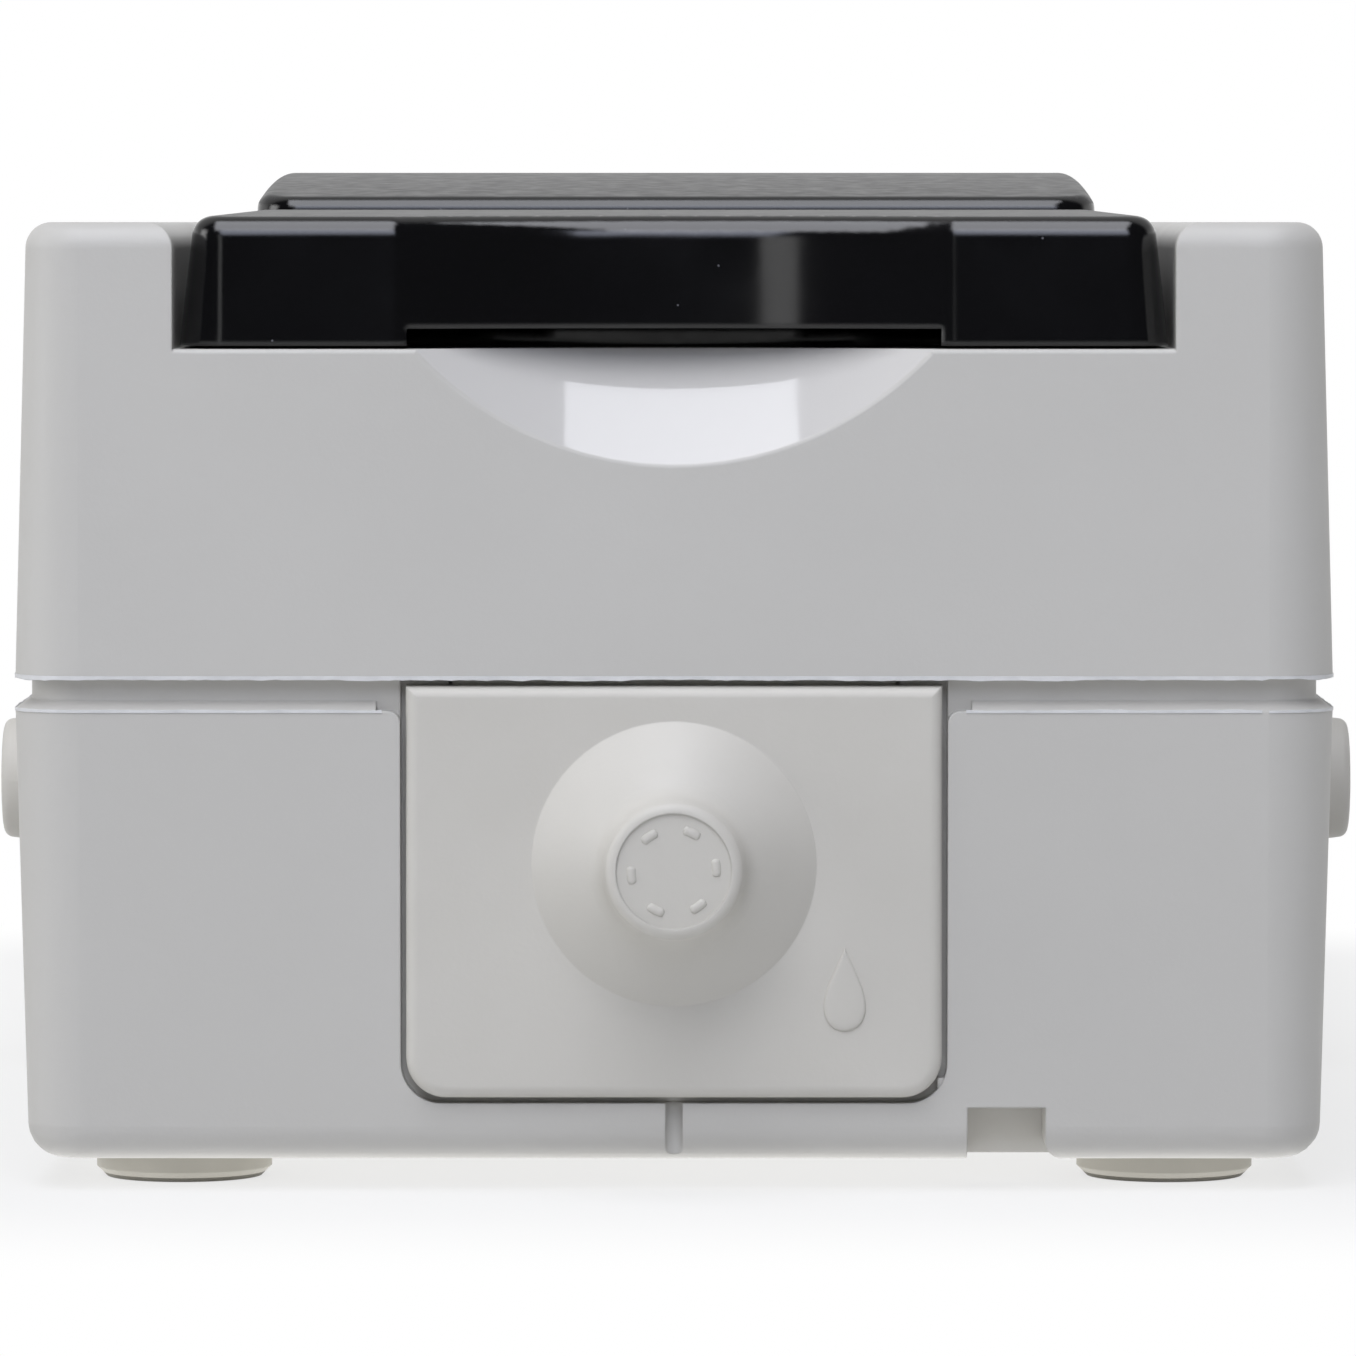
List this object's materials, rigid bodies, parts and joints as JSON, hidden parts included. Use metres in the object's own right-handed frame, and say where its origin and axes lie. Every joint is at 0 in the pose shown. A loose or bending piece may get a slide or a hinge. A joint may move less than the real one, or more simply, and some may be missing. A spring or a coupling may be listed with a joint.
{
  "type": "surface-mounted switch and socket combination",
  "caption": "Surface-mounted splash-proof wall box with a large rocker switch beside an earthed socket under a spring lid, with soft cable entries on each side.",
  "frame": {"origin": "centre of the wall plane that the soft pads rest on", "axes": "+Z out of the wall, -Y towards the socket's finger scoop, +Y towards the rocker, X across"},
  "size_m": [0.0772, 0.151, 0.0514],
  "materials": {
    "grey_housing": "fine moulded texture",
    "dark_plastic": "glossy sides, fine matte top",
    "soft_entry": "soft satin",
    "soft_pad": "soft satin",
    "soft_seal": "soft matte",
    "ivory_insulator": "moulded",
    "brass_block": "drawn bar, milled",
    "bronze_strip": "rolled strip",
    "bright_strip": "bright plated",
    "plated_steel": "zinc plated",
    "spring_steel": "drawn wire"
  },
  "bodies": {
    "housing": {"base_box": "grey_housing", "cover": "grey_housing", "lower_membrane": "soft_entry", "upper_membrane": "soft_entry", "left_membrane": "soft_entry", "right_membrane": "soft_entry", "wall_pad_1": "soft_pad", "wall_pad_2": "soft_pad", "wall_pad_3": "soft_pad", "wall_pad_4": "soft_pad", "cover_screws": "plated_steel", "socket_insert": "dark_plastic", "contact_carrier": "ivory_insulator", "line_contact": "bronze_strip", "neutral_contact": "bronze_strip", "earth_bracket": "bright_strip", "line_terminal": "brass_block", "neutral_terminal": "brass_block", "earth_terminal": "brass_block", "socket_terminal_screws": "plated_steel", "socket_fixing_screws": "plated_steel", "hinge_pin": "bright_strip", "lid_spring": "spring_steel", "common_contact": "bronze_strip", "upper_contact": "bronze_strip", "lower_contact": "bronze_strip", "common_terminal": "brass_block", "upper_terminal": "brass_block", "lower_terminal": "brass_block", "switch_terminal_screws": "plated_steel", "switch_body": "ivory_insulator", "switch_seal": "soft_seal", "switch_fixing_screws": "plated_steel"},
    "lid": {"socket_lid": "dark_plastic", "lid_seal": "soft_seal"},
    "rocker": {"rocker": "dark_plastic", "switch_lever": "ivory_insulator", "plunger": "ivory_insulator", "plunger_spring": "spring_steel"},
    "bridge": {"contact_bridge": "bronze_strip"}
  },
  "joints": [
    {"name": "lid_hinge", "type": "hinge", "parent": "housing", "child": "lid", "pos_m": [0, -0.0085, 0.04415], "axis": [-1, 0, 0], "range_deg": [0, 95], "stiffness_Nm_per_rad": 0.02, "springref_deg": -45.84, "deforming": ["lid_spring"]},
    {"name": "rocker_tilt", "type": "hinge", "parent": "housing", "child": "rocker", "pos_m": [0, 0.0319, 0.03445], "axis": [-1, 0, 0], "range_deg": [0, 2.4]},
    {"name": "contact_flip", "type": "hinge", "parent": "housing", "child": "bridge", "pos_m": [0, 0.0319, 0.0208], "axis": [1, 0, 0], "range_deg": [0, 9]}
  ],
  "couplings": [
    {"joint": "contact_flip", "follows": "rocker_tilt", "ratio": 3.75}
  ]
}
